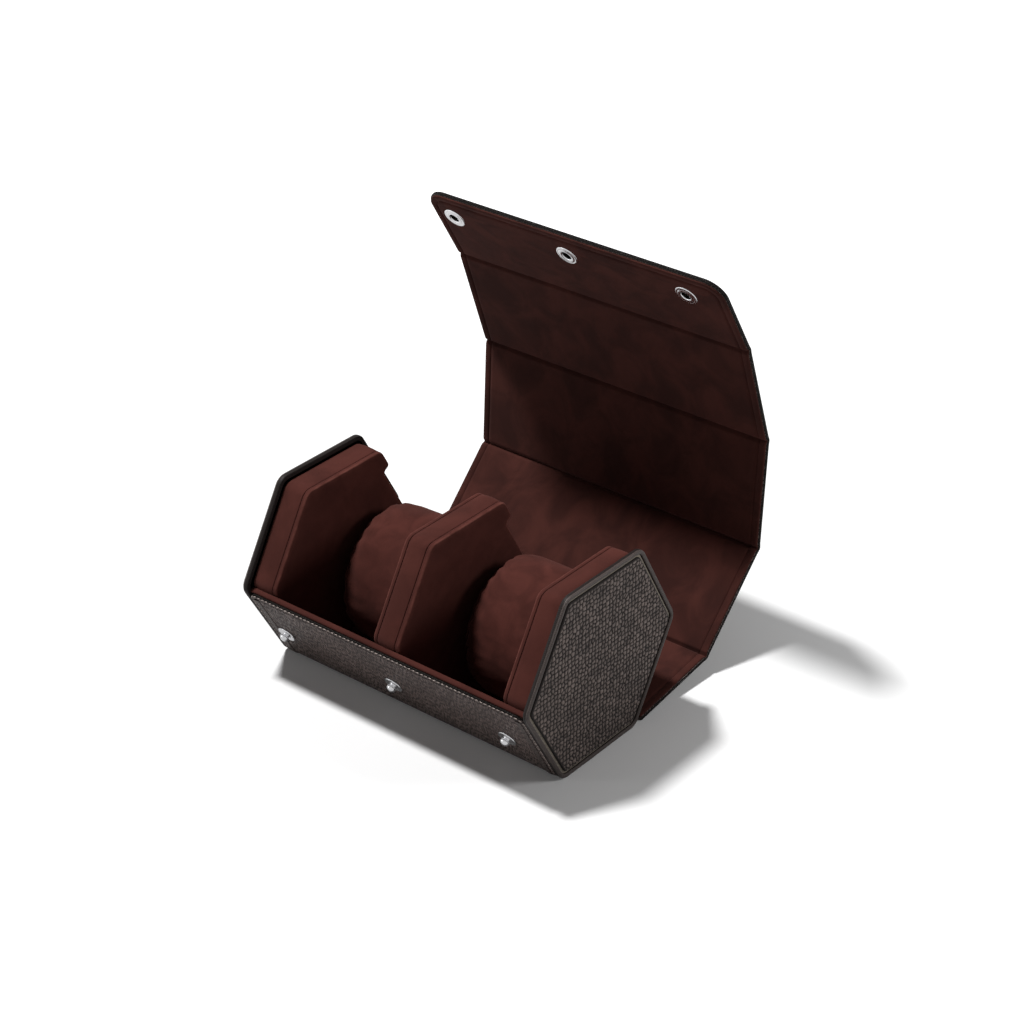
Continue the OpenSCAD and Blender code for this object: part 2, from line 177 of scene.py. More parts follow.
# The table top: white where the camera and mirrors see it, and greyer for the light that
# it sends back, so that the inside of the case stays deep. It keeps the shadow, but a glow
# that only the camera and mirrors see grows with distance from the case: it whitens the
# far table, and it is painted light that lightens the far part of the shadow.
floor_size = 6
floor_paper, tree, where = new_material("floor_paper")
ray = put(tree, "ShaderNodeLightPath").outputs
shade = mix_colours(tree, ray["Is Camera Ray"], (0.58, 0.58, 0.58), (0.95, 0.95, 0.95))
away = put(tree, "ShaderNodeVectorMath", where["Object"], operation="LENGTH")
# Painted light: a glow that grows with distance from the case and lightens the far part of the
# shadow.
painted_far_glow = ramp(tree, away.outputs["Value"], 0.07, 0.83, smooth=False, start=0.03, end=0.97)
seen = math_node(tree, "MAXIMUM", ray["Is Camera Ray"], ray["Is Glossy Ray"])
paint = put(tree, "ShaderNodeBsdfDiffuse", Color=shade)
glow = put(tree, "ShaderNodeEmission", Strength=times(tree, seen, painted_far_glow))
put(tree, "ShaderNodeOutputMaterial", Surface=put(tree, "ShaderNodeAddShader", paint, glow))
mesh = bpy.data.meshes.new("floor")
half = floor_size / 2
mesh.from_pydata([(-half, -half, 0), (half, -half, 0), (half, half, 0), (-half, half, 0)],
                 [], [(0, 1, 2, 3)])
mesh.materials.append(floor_paper)
add_object("floor", mesh)

# End plates: a stiff hexagon covered in smooth dark leather that is turned over its edge.
# The outer face has a raised smooth border, a sewn groove, and a panel of coarse pebbled
# leather inside it. The stiffener board is hidden between cover and cushion.
plate_low, plate_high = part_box("end_plate_right")
mid_height = plate_high.z / 2
side_length = plate_high.z / math.sqrt(3)
plate_in = plate_low.x
plate_out = plate_high.x
plate_corner = 0.006
smallest_radius = 0.00003
HEXAGON = [30, 90, 150, 210, 270, 330]


def rounded_outline(sides, radii, inset, steps=7):
    """Closed outline of straight sides, each a direction in degrees and a distance, moved
    in by inset. Corner k lies after side k, and its arc follows the inset."""
    points = []
    for k, (direction, distance) in enumerate(sides):
        after, beyond = sides[(k + 1) % len(sides)]
        turn = (after - direction + 180) % 360 - 180
        bulge = 1 if turn > 0 else -1
        radius = max(radii[k] - bulge * inset, smallest_radius)
        a, b = math.radians(direction), math.radians(after)
        p = distance - inset - bulge * radius
        q = beyond - inset - bulge * radius
        across = math.sin(b - a)
        middle = Vector(((p * math.sin(b) - q * math.sin(a)) / across,
                         (q * math.cos(a) - p * math.cos(b)) / across))
        for i in range(steps + 1):
            c = a + math.radians(turn) * i / steps
            points.append(middle + bulge * radius * Vector((math.cos(c), math.sin(c))))
    return points


def add_mesh_piece(name, body, material, smooth_under=38):
    """A new piece on the build's own mesh, smooth except at edges sharper than an angle."""
    mesh = bpy.data.meshes.new(name)
    piece = add_object(name, mesh)
    body.to_mesh(mesh)
    body.free()
    mesh.materials.append(material)
    mesh.shade_smooth()
    mesh.set_sharp_from_angle(angle=math.radians(smooth_under))
    return piece


def loft(rings, flats=None):
    """Closed skin over rings with equally many points. flats holds the place of each point
    on the laid-out leather, which becomes the UV map, in metres."""
    body = bmesh.new()
    layer = body.loops.layers.uv.new("laid_out")
    made = [[body.verts.new(p) for p in ring] for ring in rings]
    place = {}
    if flats:
        for ring, flat in zip(made, flats):
            place.update(zip(ring, flat))
    count = len(made[0])
    for lower, upper in zip(made, made[1:]):
        for i in range(count):
            j = (i + 1) % count
            body.faces.new((lower[i], lower[j], upper[j], upper[i]))
    body.faces.new(made[0][::-1])
    body.faces.new(made[-1])
    bmesh.ops.recalc_face_normals(body, faces=body.faces)
    if flats:
        for face in body.faces:
            for loop in face.loops:
                loop[layer].uv = place[loop.vert]
    return body


def hexagon_ring(inset, x, hexagon=None, radii=None):
    """Ring of a hexagonal piece at a place along the case."""
    sides = hexagon or [(d, mid_height) for d in HEXAGON]
    radii = radii or [plate_corner] * 6
    return [Vector((x, p.x, p.y + mid_height)) for p in rounded_outline(sides, radii, inset)]


def fasten(piece, body, node=None):
    """Puts a piece on its body, and hides the CAD node that it stands for."""
    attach(piece, body)
    if node:
        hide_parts(node)


def node_group(name, inputs, outputs):
    """Empty shader group, with the sockets inside it. An input without a number takes a
    vector, and every output is a number."""
    group = bpy.data.node_groups.new(name, "ShaderNodeTree")
    for label, value in inputs.items():
        kind = "NodeSocketVector" if value is None else "NodeSocketFloat"
        socket = group.interface.new_socket(label, in_out="INPUT", socket_type=kind)
        if value is not None:
            socket.default_value = value
    for label in outputs:
        group.interface.new_socket(label, in_out="OUTPUT", socket_type="NodeSocketFloat")
    return group, put(group, "NodeGroupInput").outputs, put(group, "NodeGroupOutput").inputs


def swing(tree, pattern, size):
    """A pattern's value, moved so that it swings round zero."""
    return times(tree, math_node(tree, "SUBTRACT", pattern, 0.5), size)


def noise_node(tree, place, scale, detail, **more):
    return put(tree, "ShaderNodeTexNoise", Vector=place, Scale=scale, Detail=detail, **more)


# Pebble grain of printed leather: cells about a millimetre wide with sunk gaps between
# them, and finer wrinkles on each cell.
grain, into, outof = node_group(
    "leather_grain",
    {"Vector": None, "Cell": 0.001, "Stretch": 1.0, "Irregular": 0.6, "Bend": 1.0},
    ["Height", "Gap", "Tone"])
per_cell = math_node(grain, "DIVIDE", 1.0, into["Cell"])
scales = put(grain, "ShaderNodeCombineXYZ", X=per_cell, Z=per_cell,
             Y=times(grain, per_cell, into["Stretch"]))
scaled = put(grain, "ShaderNodeVectorMath", into["Vector"], scales, operation="MULTIPLY")
bend = noise_node(grain, scaled, 0.35, 3.0)
shifted = put(grain, "ShaderNodeVectorMath", bend.outputs["Color"], into["Bend"], scaled,
              operation="MULTIPLY_ADD")
to_edge, to_middle = [
    put(grain, "ShaderNodeTexVoronoi", voronoi_dimensions="2D", feature=feature,
        Vector=shifted, Scale=1.0, Randomness=into["Irregular"]).outputs
    for feature in ("DISTANCE_TO_EDGE", "F1")]
dome = ramp(grain, to_edge["Distance"], 0.02, 0.36)
wrinkle = noise_node(grain, scaled, 3.2, 3.0, Roughness=0.6)
tops = put(grain, "ShaderNodeSeparateColor", Color=to_middle["Color"]).outputs
uneven = ramp(grain, tops["Red"], 0.0, 1.0, smooth=False, start=0.7, end=1.0)
feed(grain, outof["Height"],
     math_node(grain, "ADD", times(grain, dome, uneven), swing(grain, wrinkle, 0.35)))
# The gaps' mask darkens the colour: partly dye that stays in the gaps, partly painted shade
# standing in for the grain's relief.
feed(grain, outof["Gap"], ramp(grain, to_edge["Distance"], 0.05, 0.24, start=1, end=0))
feed(grain, outof["Tone"], tops["Green"])


def bump(tree, height, strength, distance):
    return put(tree, "ShaderNodeBump", Height=height, Strength=strength, Distance=distance)


def coat(tree, **values):
    """The shader that is the material's surface."""
    put(tree, "ShaderNodeOutputMaterial",
        Surface=put(tree, "ShaderNodeBsdfPrincipled", **values))


def leather_material(name, dark, light, gap_colour_and_shade, cell, depth, stretch=1.0, irregular=0.6,
                     roughness=(0.38, 0.6), specular=0.25):
    """Grained leather: darker in the gaps, partly dye and partly a painted shade in place of
    the grain's relief, and a little lighter and smoother on the tops.
    """
    material, tree, where = new_material(name)
    pebbles = put(tree, "ShaderNodeGroup", node_tree=grain, Vector=where["UV"], Cell=cell,
                  Stretch=stretch, Irregular=irregular, Bend=0.8).outputs
    patches = noise_node(tree, where["Object"], 45.0, 4.0)
    tone = math_node(tree, "ADD", times(tree, patches, 0.7), times(tree, pebbles["Tone"], 0.3))
    coat(tree,
         # Gap colour: partly dye, partly painted shade.
         Base_Color=mix_colours(tree, pebbles["Gap"], mix_colours(tree, tone, dark, light), gap_colour_and_shade),
         Roughness=ramp(tree, pebbles["Height"], 0.2, 1.0, start=roughness[1],
                        end=roughness[0]),
         Normal=bump(tree, pebbles["Height"], 1.0, depth),
         Specular_IOR_Level=specular)
    return material


plate_leather = leather_material(
    "smooth_plate_leather", (0.016, 0.012, 0.011), (0.034, 0.026, 0.024),
    (0.011, 0.008, 0.0075), 0.0007, 0.00003, roughness=(0.36, 0.52), specular=0.14)
border_leather = leather_material(
    "border_leather", (0.06, 0.045, 0.041), (0.12, 0.093, 0.084),
    (0.035, 0.026, 0.023), 0.0006, 0.00005, roughness=(0.36, 0.55), specular=0.35)

# The panels' pebbles are modelled, and their height is also the mask for the colour, near
# black in the gaps and pale on the tops: partly dye that stays in the gaps and wears off the
# tops, and partly painted shade in the gaps and a painted highlight on the tops.
panel_leather, tree, where = new_material("pebbled_panel_leather")
printed = put(tree, "ShaderNodeAttribute", attribute_name="relief").outputs["Fac"]
creased = noise_node(tree, where["UV"], 1300.0, 3.0, Roughness=0.6)
rub_and_highlight = noise_node(tree, where["UV"], 260.0, 3.0)
patches = noise_node(tree, where["UV"], 55.0, 4.0)
shown = math_node(tree, "ADD", printed, math_node(tree, "ADD", swing(tree, rub_and_highlight, 0.6),
                                                  swing(tree, creased, 0.9)))
tone = times(tree, ramp(tree, shown, 0.2, 1.05),
             ramp(tree, patches, 0.3, 0.7, start=0.7, end=1.0))
# Colour from the height mask: partly dye and wear, partly painted shade in the gaps and a painted
# highlight on the tops.
coat(tree, Base_Color=mix_colours(tree, tone, (0.012, 0.0085, 0.0078), (0.235, 0.182, 0.162)),
     Roughness=ramp(tree, shown, 0.2, 1.0, start=0.75, end=0.42), Specular_IOR_Level=0.3,
     Normal=bump(tree, shown, 1.0, 0.00016))


def speckled_material(name, dark, light, scale, detail, roughness):
    """Material in fine specks of two colours, of which the light ones stand up a little."""
    material, tree, where = new_material(name)
    specks = noise_node(tree, where["Object"], scale, detail)
    coat(tree, Base_Color=mix_colours(tree, specks, dark, light), Roughness=roughness,
         Normal=bump(tree, specks, 0.6, 0.0001))
    return material


thread = speckled_material("waxed_thread", (0.09, 0.066, 0.056), (0.34, 0.27, 0.24), 2500.0,
                           2.0, 0.45)


def geometry_tree(name, **inputs):
    """Empty tree that takes a geometry and named inputs and gives a geometry, with the
    sockets inside it."""
    tree = bpy.data.node_groups.new(name, "GeometryNodeTree")
    for label, kind, way in (("Geometry", "Geometry", "INPUT"),
                             *((label, kind, "INPUT") for label, kind in inputs.items()),
                             ("Geometry", "Geometry", "OUTPUT")):
        tree.interface.new_socket(label, in_out=way, socket_type="NodeSocket" + kind)
    return tree, put(tree, "NodeGroupInput").outputs, put(tree, "NodeGroupOutput").inputs


def end_tree(tree, copies, material, end):
    """Makes a tree's copies real, gives them their material and puts them out."""
    real = put(tree, "GeometryNodeRealizeInstances", copies)
    feed(tree, end, put(tree, "GeometryNodeSetMaterial", Geometry=real, Material=material))


stitch_line, into, outof = geometry_tree("stitch_line", Pitch="Float", Length="Float",
                                         Width="Float", Slant="Float", Material="Material")
path = put(stitch_line, "GeometryNodeMeshToCurve", into["Geometry"])
spaced = put(stitch_line, "GeometryNodeCurveToPoints", mode="LENGTH", Curve=path,
             Length=into["Pitch"]).outputs
angle = put(stitch_line, "ShaderNodeCombineXYZ", Y=into["Slant"])
slanted = put(stitch_line, "FunctionNodeRotateRotation", rotation_space="LOCAL",
              Rotation=spaced["Rotation"],
              Rotate_By=put(stitch_line, "FunctionNodeEulerToRotation", angle))
stitch = put(stitch_line, "GeometryNodeMeshUVSphere", Segments=7, Rings=6, Radius=0.5)
size = put(stitch_line, "ShaderNodeCombineXYZ", into["Width"], into["Width"], into["Length"])
sewn = put(stitch_line, "GeometryNodeInstanceOnPoints", Points=spaced["Points"],
           Instance=stitch, Rotation=slanted, Scale=size)
end_tree(stitch_line, sewn, into["Material"], outof["Geometry"])


def finished_mesh(piece):
    """Plain mesh of what a piece's modifiers or bevel make of it."""
    graph = bpy.context.evaluated_depsgraph_get()
    return bpy.data.meshes.new_from_object(piece.evaluated_get(graph))


def settle(piece):
    """Turns a piece into its finished mesh, without its modifiers."""
    mesh = finished_mesh(piece)
    piece.modifiers.clear()
    piece.data = mesh
    return mesh


def grow(piece, tree, **values):
    """Runs a node tree on a piece with values by input name, and keeps the plain mesh."""
    grown = piece.modifiers.new("grown", "NODES")
    grown.node_group = tree
    for item in tree.interface.items_tree:
        if item.in_out == "INPUT" and item.name in values:
            grown[item.identifier] = values[item.name]
    settle(piece).shade_smooth()


def sew(name, points, closed, pitch, length, width, colour=thread):
    """Row of stitches along a path on the tray."""
    mesh = bpy.data.meshes.new(name)
    count = len(points)
    edges = [(i, (i + 1) % count) for i in range(count if closed else count - 1)]
    mesh.from_pydata(points, edges, [])
    row = add_object(name, mesh)
    grow(row, stitch_line, Pitch=pitch, Length=length, Width=width, Slant=math.radians(8),
         Material=colour)
    fasten(row, "tray")


def from_mm(points):
    """A profile's points, given in millimetres."""
    return [(a / 1000, b / 1000) for a, b in points]


cover_profile = from_mm([(4, 0), (0.9, 0), (0.26, 0.22), (0, 0.8), (0, 1.7), (0.12, 2.2),
                         (0.45, 2.52), (0.9, 2.6), (1.4, 2.5), (1.72, 2.25), (1.85, 1.9),
                         (1.85, 1.1), (3.1, 1.1), (4, 1.1)])
inlay_profile = from_mm([(4, 1.15), (3.1, 1.15), (3, 1.4), (3, 1.9), (3.1, 2.15), (3.4, 2.32)])
profile_scale = (plate_out - plate_in) / max(depth for _, depth in cover_profile)
border_start = 0.0019
groove_inset = 0.00242
groove_floor = 0.0014
pebble_pitch = 0.0021
pebble_jitter = 0.27
pebble_depth = 0.0005
face_step = 0.00036
side_points = 110
dice = random.Random(7)
pebbles = {(i, k): (i + dice.uniform(-pebble_jitter, pebble_jitter),
                    k + dice.uniform(-pebble_jitter, pebble_jitter), dice.uniform(0.65, 1))
           for i in range(-30, 31) for k in range(-30, 31)}


def pebble_height(y, z):
    """Height of the printed grain, from 0 in a gap to 1 on top of a pebble."""
    u, v = y / pebble_pitch, (z - mid_height) / pebble_pitch
    around = [pebbles[round(u) + a, round(v) + b] for a in (-1, 0, 1) for b in (-1, 0, 1)]
    first, second = sorted((math.hypot(u - pu, v - pv), top) for pu, pv, top in around)[:2]
    t = min((second[0] - first[0]) / 0.6, 1)
    return first[1] * t * (2 - t)


def with_side_points(ring, count):
    """The same ring with more points on its long sides."""
    full = []
    for p, q in zip(ring, ring[1:] + ring[:1]):
        full.append(p)
        if (q - p).length > 0.01:
            full += [p.lerp(q, i / count) for i in range(1, count)]
    return full


def points_inside(inset, step):
    """Even points inside a rounded hexagon, a little off its outline."""
    apothem = mid_height - inset - step * 0.7
    radius = plate_corner - inset - step * 0.7
    reach = (apothem - radius) / math.cos(math.radians(30))
    rows = round(side_length / step / 0.866)
    inside = []
    for i in range(-rows, rows + 1):
        for k in range(-rows, rows + 1):
            y, z = i * step * 0.866, (k + i % 2 / 2) * step
            out, turn = math.hypot(y, z), math.degrees(math.atan2(z, y))
            side = math.radians((turn - 30) - 60 * round((turn - 30) / 60))
            if out * math.cos(side) > apothem:
                continue
            corner = math.radians(turn - 60 * round(turn / 60))
            along, across = out * math.cos(corner) - reach, out * math.sin(corner)
            if along > 0 and abs(across) < along * 0.577 and math.hypot(along, across) > radius:
                continue
            inside.append(Vector((y, z + mid_height)))
    return inside


def pebbled_panel(name, rings, flats, sign, material):
    """Panel whose outer face is a fine mesh that rises over each pebble."""
    body = loft(rings, flats)
    layer = body.loops.layers.uv["laid_out"]
    cap = list(body.faces)[-1]
    rim = list(body.verts)[-len(rings[-1]):]
    bmesh.ops.delete(body, geom=[cap], context="FACES_ONLY")
    corners = [Vector((p.y, p.z)) for p in rings[-1]]
    points, _, triangles, origin, *_ = delaunay_2d_cdt(
        corners + points_inside(inlay_profile[-1][0], face_step), [],
        [list(range(len(corners)))], 1, 1e-7)
    heights = [0.0] * (len(body.verts) - len(corners)) + [0.2] * len(corners)
    made = []
    for p, sources in zip(points, origin):
        if min(sources) < len(corners):
            made.append(rim[min(sources)])
            continue
        height = pebble_height(p.x, p.y)
        heights.append(height)
        made.append(body.verts.new((sign * (plate_out - pebble_depth * (1 - height)),
                                    p.x, p.y)))
    for triangle in triangles:
        face = body.faces.new([made[k] for k in triangle])
        for loop in face.loops:
            loop[layer].uv = (loop.vert.co.y, loop.vert.co.z)
    bmesh.ops.recalc_face_normals(body, faces=body.faces)
    panel = add_mesh_piece(name, body, material, 60)
    relief = panel.data.attributes.new("relief", "FLOAT", "POINT")
    relief.data.foreach_set("value", heights)
    return panel


def laid_flat(profile, ring):
    """Places on flat leather that follow the profile's length from its last point."""
    flats = []
    run = 0
    for k in range(len(profile) - 1, -1, -1):
        if k < len(profile) - 1:
            run += math.dist(profile[k], profile[k + 1])
        flats.append([(p.y, p.z) for p in ring(profile[-1][0] - run)])
    return flats[::-1]


for end_name, sign in (("left", -1), ("right", 1)):
    rings = [hexagon_ring(inset, sign * (plate_in + depth * profile_scale))
             for inset, depth in cover_profile]
    flats = laid_flat(cover_profile, lambda inset: hexagon_ring(inset, 0))
    cover = add_mesh_piece("end_cover_" + end_name, loft(rings, flats), plate_leather, 30)
    cover.data.materials.append(border_leather)
    for polygon in cover.data.polygons:
        if sign * polygon.center.x > plate_in + border_start:
            polygon.material_index = 1
    fasten(cover, "tray", "end_plate_" + end_name)

    rings = [with_side_points(hexagon_ring(inset, sign * (plate_in + depth * profile_scale)),
                              side_points) for inset, depth in inlay_profile]
    flats = laid_flat(inlay_profile,
                      lambda inset: with_side_points(hexagon_ring(inset, 0), side_points))
    inlay = pebbled_panel("end_panel_" + end_name, rings, flats, sign, panel_leather)
    fasten(inlay, "tray", "end_inlay_" + end_name)
    groove = hexagon_ring(groove_inset, sign * (plate_in + groove_floor))
    sew("plate_stitches_" + end_name, groove, closed=True, pitch=0.0024, length=0.0014,
        width=0.00042)

# Boards: grey-brown fibreboard stiffeners, hidden in every panel. Only a cut edge shows,
# where a leather turning ends.
fibreboard = speckled_material("fibreboard", (0.2, 0.17, 0.13), (0.42, 0.37, 0.3), 900.0, 5.0,
                               0.85)
for name, node in frame["nodes"].items():
    if name.endswith("_board") or name.startswith("end_board"):
        node.data.materials.clear()
        node.data.materials.append(fibreboard)

# Suede nap: short fibres, and patches where a hand has brushed them one way or the other.
nap, into, outof = node_group("suede_nap", {"Vector": None, "Fibre": 0.00025, "Patch": 0.02},
                              ["Height", "Shade"])
fine = noise_node(nap, into["Vector"], math_node(nap, "DIVIDE", 1.0, into["Fibre"]), 4.0,
                  Roughness=0.65)
brushed = noise_node(nap, into["Vector"], math_node(nap, "DIVIDE", 1.0, into["Patch"]), 5.0,
                     Roughness=0.55, Distortion=0.6)
feed(nap, outof["Height"], fine)
feed(nap, outof["Shade"],
     math_node(nap, "ADD", times(nap, fine, 0.45), times(nap, ramp(nap, brushed, 0.3, 0.7), 0.55)))


def suede_material(name, dark, light, patch=0.02, layout="Object", sheen=0.1):
    """Dyed suede, paler where its edges are marked: partly wear, partly a painted highlight."""
    material, tree, where = new_material(name)
    pile = put(tree, "ShaderNodeGroup", node_tree=nap, Vector=where[layout], Fibre=0.00022,
               Patch=patch).outputs
    edge_breakup = noise_node(tree, where["Object"], 160.0, 4.0)
    edges = put(tree, "ShaderNodeAttribute", attribute_name="wear_and_highlight").outputs["Fac"]
    # The marked edges are painted paler: partly wear, partly a painted highlight.
    rub_and_highlight = times(tree, edges, ramp(tree, edge_breakup, 0.35, 0.65, start=0.35, end=1.0))
    pale = (light[0] * 2.1, light[1] * 2.5, light[2] * 2.6)
    dye = mix_colours(tree, pile["Shade"], dark, light)
    coat(tree, Base_Color=mix_colours(tree, rub_and_highlight, dye, pale), Roughness=0.92,
         Normal=bump(tree, pile["Height"], 0.5, 0.0001),
         Specular_IOR_Level=0.15, Sheen_Weight=sheen, Sheen_Roughness=0.5,
         Sheen_Tint=(0.55, 0.3, 0.27, 1))
    return material


# End cushions and divider: foam blocks covered in burgundy suede. A stiff board covered in
# the same suede is sewn to each inner face, so a sunk seam runs round the rim behind its
# rounded edge. A notch is cut up the back of all of them.
cushion_suede = suede_material("cushion_suede", (0.044, 0.0112, 0.0082), (0.092, 0.0255, 0.0192))
cushion_corner = 0.005
cushion_inset = 0.003
front_inset = 0.0041
back_inset = 0.0033
notch_depth = 0.0043
notch_drop = 0.012
notch_corner = 0.0016
step_height = side_length / 2 - notch_drop
CUSHION_SIDES = [(330, mid_height - back_inset),
                 (30, mid_height - cushion_inset - notch_depth), (300, -step_height),
                 *((direction, mid_height - cushion_inset) for direction in (30, 90, 150)),
                 *((direction, mid_height - front_inset) for direction in (210, 270))]
CUSHION_RADII = [cushion_corner, notch_corner, notch_corner] + [cushion_corner] * 5


def cushion_ring(inset, x):
    return hexagon_ring(inset, x, CUSHION_SIDES, CUSHION_RADII)


def suede_block(name, from_x, to_x, near, far_side, puff, node):
    """Suede-covered block between two places along the case. near and far_side are the
    roundings of its two rims, each a width and a depth, and puff is how far its side
    crowns between them."""
    way = 1 if to_x > from_x else -1
    width = abs(to_x - from_x)
    rings = [cushion_ring(near[1] + 0.002, from_x)]
    for i in range(7):
        a = math.radians(90 * i / 6)
        rings.append(cushion_ring(near[1] * (1 - math.sin(a)),
                                  from_x + way * near[0] * (1 - math.cos(a))))
    for i in range(1, 6):
        along = near[0] + (width - near[0] - far_side[0]) * i / 6
        rings.append(cushion_ring(-puff * math.sin(math.pi * i / 6), from_x + way * along))
    for i in range(7):
        a = math.radians(90 * i / 6)
        rings.append(cushion_ring(far_side[1] * (1 - math.cos(a)),
                                  to_x - way * far_side[0] * (1 - math.sin(a))))
    rings.append(cushion_ring(far_side[1] + 0.002, to_x))
    block = add_mesh_piece(name, loft(rings), cushion_suede, 50)
    # The face board's rounded rim is marked paler: partly wear, partly a painted highlight along
    # the edge.
    if near == face_round:
        wear_and_highlight = block.data.attributes.new("wear_and_highlight", "FLOAT", "POINT")
        shares = [0.1, 0.35, 0.7, 1.0, 0.9, 0.6, 0.35, 0.2, 0.1]
        wear_and_highlight.data.foreach_set("value", [
            shares[k] if k < len(shares) else 0.0
            for k in range(len(rings)) for _ in rings[k]])
    fasten(block, "tray", node)
    return block


seam_round = (0.00032, 0.0009)
face_round = (0.0008, 0.0008)
crown = 0.0003
face_low, face_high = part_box("end_face_right")
for end_name, sign in (("left", -1), ("right", 1)):
    foam = suede_block("end_cushion_body_" + end_name, sign * face_high.x, sign * plate_in,
                       seam_round, seam_round, crown, "end_cushion_" + end_name)
    suede_block("end_cushion_face_" + end_name, sign * face_low.x, sign * face_high.x,
                face_round, seam_round, 0, "end_face_" + end_name)
core_low, core_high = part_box("divider_core")
foam = suede_block("divider_body", core_low.x, core_high.x, seam_round, seam_round, crown,
                   "divider_core")
divider_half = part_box("divider_face_right")[1].x
for end_name, sign in (("left", -1), ("right", 1)):
    suede_block("divider_board_" + end_name, sign * divider_half, sign * core_high.x,
                face_round, seam_round, 0, "divider_face_" + end_name)

# Front and bottom wrap: one skin of pebbled leather from the front rim, down the sloping
# front, round the bend and under the case to the lid's hinge. Its rim is rolled, inked and
# stitched, with a pressed groove below it.
wrap_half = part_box("base_wrap")[1].x
bend_radius = 0.006
rim_drop = 0.0025
wrap_leather = leather_material(
    "wrap_leather", (0.055, 0.036, 0.032), (0.3, 0.222, 0.2), (0.018, 0.0112, 0.01),
    0.0008, 0.00035, stretch=0.2, irregular=0.95, roughness=(0.34, 0.62), specular=0.35)


def heading(angle):
    """Direction across the case: 0 is level to the back and 90 is up."""
    return Vector((math.cos(math.radians(angle)), math.sin(math.radians(angle))))


front_down = heading(300)
front_in = heading(30)
front_mid = Vector((-mid_height * math.cos(math.radians(30)),
                    mid_height - mid_height * math.sin(math.radians(30))))
bend_run = bend_radius * math.tan(math.radians(30))
front_run = side_length - rim_drop - bend_run
bend_arc = bend_radius * math.radians(60)
hinge_reach = 0.003
hinge = Vector(frame["joints"][0]["pos_m"][1:])
bottom_run = hinge.x - hinge_reach + side_length / 2 - bend_run
wrap_length = front_run + bend_arc + bottom_run


def on_wrap(x, run, depth):
    """Point at a run down from the rim along the outer face, and a depth into the case."""
    top = front_mid - front_down * (side_length / 2 - rim_drop)
    if run <= front_run:
        p = top + front_down * run + front_in * depth
    elif run <= front_run + bend_arc:
        centre = top + front_down * front_run + front_in * bend_radius
        a = (run - front_run) / bend_radius
        out = Vector((-math.cos(math.radians(30) + a), -math.sin(math.radians(30) + a)))
        p = centre + out * (bend_radius - depth)
    else:
        p = Vector((-side_length / 2 + bend_run + run - front_run - bend_arc, depth))
    return Vector((x, p.x, p.y))


def bend_into_place(body, cuts, mapping):
    """Cuts a laid-out sheet across at some runs, then moves each point to its place."""
    for run in cuts:
        bmesh.ops.bisect_plane(body, geom=body.verts[:] + body.edges[:] + body.faces[:],
                               plane_co=(0, run, 0), plane_no=(0, 1, 0), dist=1e-7)
    for v in body.verts:
        v.co = mapping(*v.co)
    bmesh.ops.recalc_face_normals(body, faces=body.faces)


def sheet_rings(outline, profile):
    """Rings of a laid-out sheet, and their places on the flat leather. The profile runs
    over the outer face, round the edge and back under it."""
    rings, flats = [], []
    run = 0
    for k, (inset, depth) in enumerate(profile):
        if k:
            run += math.dist(profile[k - 1], profile[k])
        rings.append([Vector((p.x, p.y, depth)) for p in outline(inset)])
        flats.append([tuple(p) for p in outline(profile[0][0] - run)])
    return rings, flats


front_corner = 0.004


def wrap_outline(inset):
    sides = [(0, wrap_half), (90, wrap_length), (180, wrap_half), (270, 0)]
    low = [0.0005, 0.0005, front_corner, front_corner]
    return rounded_outline(sides, low, inset)


wrap_profile = from_mm([(9, 0), (3.3, 0), (2.9, 0.08), (2.7, 0.55), (2.1, 0.55), (1.9, 0.1),
                        (1.6, -0.08), (0.8, -0.12), (0.2, 0.1), (0, 0.5), (0, 0.9), (0.2, 1.2),
                        (0.6, 1.3), (9, 1.3)])
rings, flats = sheet_rings(wrap_outline, wrap_profile)
body = loft(rings, flats)
arc_cuts = [front_run + bend_arc * i / 10 for i in range(11)]
bend_into_place(body, arc_cuts, on_wrap)
wrap = add_mesh_piece("front_and_bottom_leather", body, wrap_leather)
edge_leather = leather_material(
    "inked_edge", (0.005, 0.004, 0.0036), (0.022, 0.018, 0.0165),
    (0.003, 0.0022, 0.002), 0.0012, 0.0002, roughness=(0.5, 0.7), specular=0.07)
wrap.data.materials.append(edge_leather)
rim_top = max(v.co.z for v in wrap.data.vertices)
inked_depth = 0.0012
for polygon in wrap.data.polygons:
    faces_up = polygon.normal.y * front_down.x + polygon.normal.z * front_down.y < -0.5
    if faces_up and polygon.center.z > rim_top - inked_depth:
        polygon.material_index = 1
fasten(wrap, "tray", "base_wrap")
seam_inset = 0.0004
seam_end = front_run - 0.001
seam = [p for p in wrap_outline(seam_inset) if p.y < seam_end]
left_side = [p for p in seam if p.x < 0]
right_side = [p for p in seam if p.x >= 0]
seam = [Vector((left_side[0].x, seam_end)), *left_side, *right_side,
        Vector((right_side[-1].x, seam_end))]
# Pale thread on the rolled rim: partly the thread's colour, partly a painted highlight along the
# rim.
pale_thread_and_highlight = leather_material(
    "pale_thread_and_highlight", (0.32, 0.25, 0.225), (0.62, 0.53, 0.48), (0.12, 0.09, 0.08), 0.0005, 0.00003)
sew("front_rim_stitches", [on_wrap(p.x, p.y, 0.0001) for p in seam], closed=False,
    pitch=0.0021, length=0.0016, width=0.00044, colour=pale_thread_and_highlight)

